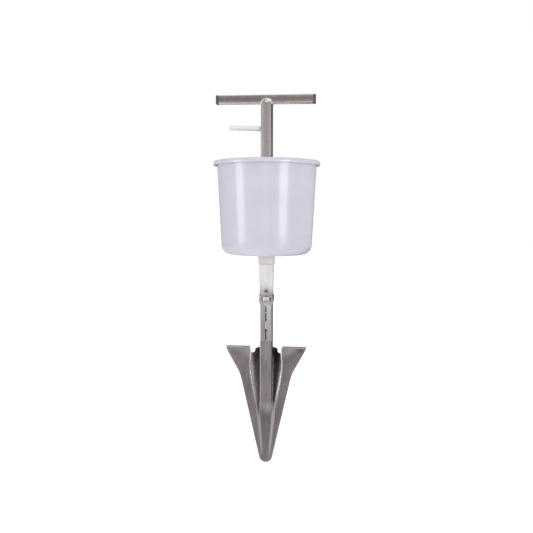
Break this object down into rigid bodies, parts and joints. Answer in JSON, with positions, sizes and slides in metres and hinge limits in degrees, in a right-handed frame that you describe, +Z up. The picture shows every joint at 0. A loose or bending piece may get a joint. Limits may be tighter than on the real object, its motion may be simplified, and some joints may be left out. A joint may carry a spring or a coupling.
{
  "type": "hand transplanter",
  "caption": "T-handled hand transplanter with a round hopper, a lever-lifted feed gate, a square drop tube and a pointed sheet blade with foot treads.",
  "frame": {"origin": "on the column's axis at the height of the blade's tip, the middle of the underside of the bounding box", "axes": "+Z up along the column, -Y to the front (the side the wings and the seam face), +X to the right; the lever points to -X"},
  "size_m": [0.232, 0.232, 0.8],
  "materials": {
    "stainless": "brushed stainless tube and sheet",
    "polished_steel": "bright drawn stainless tube",
    "rod_steel": "drawn steel rod",
    "fastener_steel": "zinc-plated",
    "clamp_steel": "bright stainless",
    "spring_steel": "spring wire",
    "milky_plastic": "translucent milky, glossy",
    "collar_plastic": "moulded, satin",
    "boot_silicone": "milky silicone, satin",
    "plug_plastic": "dark moulded plastic",
    "nylon": "natural nylon",
    "gasket_rubber": "black rubber"
  },
  "bodies": {
    "frame": {"handle_bar": "stainless", "handle_plug_left": "plug_plastic", "handle_plug_right": "plug_plastic", "column": "stainless", "return_spring": "spring_steel", "rod_guide": "nylon", "guide_screw": "fastener_steel", "hopper": "milky_plastic", "hopper_gasket": "gasket_rubber", "hopper_flange": "stainless", "neck_collar": "collar_plastic", "feed_boot": "boot_silicone", "boot_screw": "fastener_steel", "clamp_band": "clamp_steel", "clamp_housing": "clamp_steel", "clamp_screw": "clamp_steel", "socket_tube": "polished_steel", "drop_tube": "stainless", "blade": "stainless", "flange_screw_1": "fastener_steel", "flange_nut_1": "fastener_steel", "flange_screw_2": "fastener_steel", "flange_nut_2": "fastener_steel", "flange_screw_3": "fastener_steel", "flange_nut_3": "fastener_steel", "flange_screw_4": "fastener_steel", "flange_nut_4": "fastener_steel"},
    "lift": {"lever_rod": "rod_steel", "lever_sleeve": "milky_plastic", "rod_slider": "nylon", "pull_rod": "rod_steel", "spring_stop": "fastener_steel", "spring_stop_pin": "fastener_steel", "gate_block": "nylon", "gate_nut_upper": "fastener_steel", "gate_nut_lower": "fastener_steel"}
  },
  "joints": [
    {"name": "lever_lift", "type": "slide", "parent": "frame", "child": "lift", "axis": [0, 0, 1], "range_m": [0, 0.022], "stiffness_N_per_m": 400, "springref_m": -0.02, "deforming": ["return_spring"]}
  ]
}
